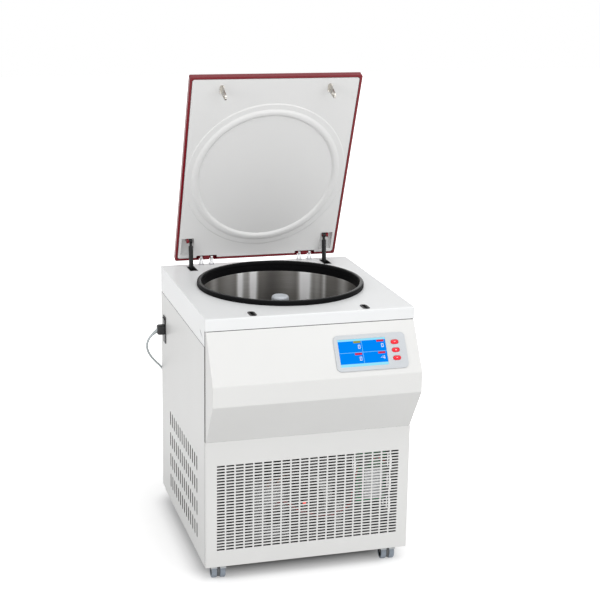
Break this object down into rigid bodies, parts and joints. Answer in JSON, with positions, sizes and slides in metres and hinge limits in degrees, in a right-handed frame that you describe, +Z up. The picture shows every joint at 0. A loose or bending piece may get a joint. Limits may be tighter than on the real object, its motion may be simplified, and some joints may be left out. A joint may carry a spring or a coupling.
{
  "type": "microplate centrifuge",
  "caption": "Floor-standing refrigerated centrifuge on castors: lid raised on gas springs over a round chamber, sloped display, slotted front grille, swing-out plate rotor.",
  "frame": {"origin": "on the floor, at the centre of the cabinet's outline with its fascia and inlet plate", "axes": "+Z up, the operator stands on the -Y side, +X to the operator's right"},
  "size_m": [0.7148, 0.897, 1.505],
  "materials": {
    "cabinet_paint": "fine-texture powder coat",
    "frame_steel": "primed steel",
    "zinc_steel": "zinc plated",
    "chamber_steel": "brushed stainless steel",
    "armour_steel": "rolled plate",
    "foam": "rigid foam",
    "seal_rubber": "smooth",
    "mount_rubber": "matt",
    "motor_paint": "matt",
    "rotor_alloy": "anodised",
    "carrier_alloy": "anodised",
    "black_plastic": "moulded",
    "lid_paint": "satin dark red",
    "liner_plastic": "moulded light grey",
    "hook_nickel": "nickel plated",
    "spring_black": "black enamel",
    "rod_chrome": "polished",
    "bezel_plastic": "light grey film",
    "screen_glass": "lit display",
    "key_red": "gloss",
    "board_green": "solder mask",
    "shroud_white": "moulded",
    "castor_grey": "moulded",
    "wheel_grey": "blue-grey tyre",
    "cord_grey": "sheathed"
  },
  "bodies": {
    "cabinet": {"base_pan": "frame_steel", "frame_posts": "frame_steel", "motor_deck": "frame_steel", "chamber_deck": "frame_steel", "front_grille": "cabinet_paint", "fascia": "cabinet_paint", "side_panel_left": "cabinet_paint", "side_panel_right": "cabinet_paint", "rear_cover": "cabinet_paint", "top_cover": "cabinet_paint", "panel_screws": "zinc_steel", "drive_motor": "motor_paint", "motor_mounts": "mount_rubber", "armour_ring": "armour_steel", "bowl_insulation": "foam", "chamber_bowl": "chamber_steel", "chamber_seal": "seal_rubber", "latch_sockets": "black_plastic", "strut_trims": "black_plastic", "strut_brackets": "zinc_steel", "hinge_posts": "zinc_steel", "display_bezel": "bezel_plastic", "display_screen": "screen_glass", "control_board": "board_green", "compressor": "motor_paint", "condenser": "zinc_steel", "fan_shroud": "shroud_white", "castor_plates": "zinc_steel", "inlet_panel": "black_plastic", "cord_connector": "black_plastic", "mains_cord": "cord_grey", "cord_coil": "cord_grey", "mains_plug": "black_plastic"},
    "lid": {"lid_shell": "lid_paint", "lid_liner": "liner_plastic", "lid_hooks": "hook_nickel", "lid_hinges": "zinc_steel"},
    "gas_tube_left": {"gas_tube_left": "spring_black"},
    "gas_tube_right": {"gas_tube_right": "spring_black"},
    "gas_rod_left": {"gas_rod_left": "rod_chrome"},
    "gas_rod_right": {"gas_rod_right": "rod_chrome"},
    "rotor": {"drive_shaft": "zinc_steel", "rotor_yoke": "rotor_alloy"},
    "plate_carrier_left": {"plate_carrier_left": "carrier_alloy"},
    "plate_carrier_right": {"plate_carrier_right": "carrier_alloy"},
    "latch_bolt_left": {"latch_bolt_left": "zinc_steel"},
    "latch_bolt_right": {"latch_bolt_right": "zinc_steel"},
    "button_1": {"button_1": "key_red"},
    "button_2": {"button_2": "key_red"},
    "button_3": {"button_3": "key_red"},
    "fan": {"fan": "black_plastic"},
    "power_rocker": {"power_rocker": "black_plastic"},
    "castor_fork_1": {"castor_fork_1": "castor_grey"},
    "castor_wheels_1": {"castor_wheels_1": "wheel_grey"},
    "castor_fork_2": {"castor_fork_2": "castor_grey"},
    "castor_wheels_2": {"castor_wheels_2": "wheel_grey"},
    "castor_fork_3": {"castor_fork_3": "castor_grey"},
    "castor_wheels_3": {"castor_wheels_3": "wheel_grey"},
    "castor_fork_4": {"castor_fork_4": "castor_grey"},
    "castor_wheels_4": {"castor_wheels_4": "wheel_grey"}
  },
  "joints": [
    {"name": "lid_hinge", "type": "hinge", "parent": "cabinet", "child": "lid", "pos_m": [0, 0.375, 0.8662], "axis": [1, 0, 0], "range_deg": [0, 68]},
    {"name": "gas_spring_pivot_left", "type": "hinge", "parent": "lid", "child": "gas_tube_left", "pos_m": [-0.232, 0.34321, 0.93101], "axis": [1, 0, 0], "range_deg": [-61.65, 0]},
    {"name": "gas_spring_stroke_left", "type": "slide", "parent": "gas_tube_left", "child": "gas_rod_left", "axis": [0, 0.0945, 0.9955], "range_m": [0, 0.07173]},
    {"name": "gas_spring_pivot_right", "type": "hinge", "parent": "lid", "child": "gas_tube_right", "pos_m": [0.232, 0.34321, 0.93101], "axis": [1, 0, 0], "range_deg": [-61.65, 0]},
    {"name": "gas_spring_stroke_right", "type": "slide", "parent": "gas_tube_right", "child": "gas_rod_right", "axis": [0, 0.0945, 0.9955], "range_m": [0, 0.07173]},
    {"name": "rotor_spin", "type": "hinge", "parent": "cabinet", "child": "rotor", "pos_m": [0, 0.057, 0.702], "axis": [0, 0, 1], "continuous": true},
    {"name": "plate_carrier_left_swing", "type": "hinge", "parent": "rotor", "child": "plate_carrier_left", "pos_m": [-0.132, 0.057, 0.702], "axis": [0, 1, 0], "range_deg": [0, 90]},
    {"name": "plate_carrier_right_swing", "type": "hinge", "parent": "rotor", "child": "plate_carrier_right", "pos_m": [0.132, 0.057, 0.702], "axis": [0, -1, 0], "range_deg": [0, 90]},
    {"name": "latch_bolt_left_slide", "type": "slide", "parent": "cabinet", "child": "latch_bolt_left", "axis": [-1, 0, 0], "range_m": [0, 0.016], "stiffness_N_per_m": 150},
    {"name": "latch_bolt_right_slide", "type": "slide", "parent": "cabinet", "child": "latch_bolt_right", "axis": [1, 0, 0], "range_m": [0, 0.016], "stiffness_N_per_m": 150},
    {"name": "button_1_press", "type": "slide", "parent": "cabinet", "child": "button_1", "axis": [0, 0.8402, -0.5423], "range_m": [0, 0.0025], "stiffness_N_per_m": 800},
    {"name": "button_2_press", "type": "slide", "parent": "cabinet", "child": "button_2", "axis": [0, 0.8402, -0.5423], "range_m": [0, 0.0025], "stiffness_N_per_m": 800},
    {"name": "button_3_press", "type": "slide", "parent": "cabinet", "child": "button_3", "axis": [0, 0.8402, -0.5423], "range_m": [0, 0.0025], "stiffness_N_per_m": 800},
    {"name": "fan_spin", "type": "hinge", "parent": "cabinet", "child": "fan", "pos_m": [0.062, -0.134, 0.185], "axis": [0, 1, 0], "continuous": true},
    {"name": "power_rocker_tilt", "type": "hinge", "parent": "cabinet", "child": "power_rocker", "pos_m": [-0.3238, 0.324, 0.67], "axis": [0, 1, 0], "range_deg": [0, 14]},
    {"name": "castor_1_swivel", "type": "hinge", "parent": "cabinet", "child": "castor_fork_1", "pos_m": [-0.276, -0.234, 0.056], "axis": [0, 0, 1], "continuous": true},
    {"name": "castor_1_roll", "type": "hinge", "parent": "castor_fork_1", "child": "castor_wheels_1", "pos_m": [-0.27732, -0.25295, 0.025], "axis": [0.9976, -0.0698, 0], "continuous": true},
    {"name": "castor_2_swivel", "type": "hinge", "parent": "cabinet", "child": "castor_fork_2", "pos_m": [0.276, -0.234, 0.056], "axis": [0, 0, 1], "continuous": true},
    {"name": "castor_2_roll", "type": "hinge", "parent": "castor_fork_2", "child": "castor_wheels_2", "pos_m": [0.27468, -0.25295, 0.025], "axis": [0.9976, -0.0698, 0], "continuous": true},
    {"name": "castor_3_swivel", "type": "hinge", "parent": "cabinet", "child": "castor_fork_3", "pos_m": [-0.276, 0.333, 0.056], "axis": [0, 0, 1], "continuous": true},
    {"name": "castor_3_roll", "type": "hinge", "parent": "castor_fork_3", "child": "castor_wheels_3", "pos_m": [-0.27732, 0.31405, 0.025], "axis": [0.9976, -0.0698, 0], "continuous": true},
    {"name": "castor_4_swivel", "type": "hinge", "parent": "cabinet", "child": "castor_fork_4", "pos_m": [0.276, 0.333, 0.056], "axis": [0, 0, 1], "continuous": true},
    {"name": "castor_4_roll", "type": "hinge", "parent": "castor_fork_4", "child": "castor_wheels_4", "pos_m": [0.27468, 0.31405, 0.025], "axis": [0.9976, -0.0698, 0], "continuous": true}
  ],
  "couplings": [
    {"joint": "gas_spring_pivot_left", "follows": "lid_hinge", "ratio": -0.90629},
    {"joint": "gas_spring_stroke_left", "follows": "lid_hinge", "m_per_rad": 0.060358},
    {"joint": "gas_spring_pivot_right", "follows": "lid_hinge", "ratio": -0.90629},
    {"joint": "gas_spring_stroke_right", "follows": "lid_hinge", "m_per_rad": 0.060358}
  ]
}
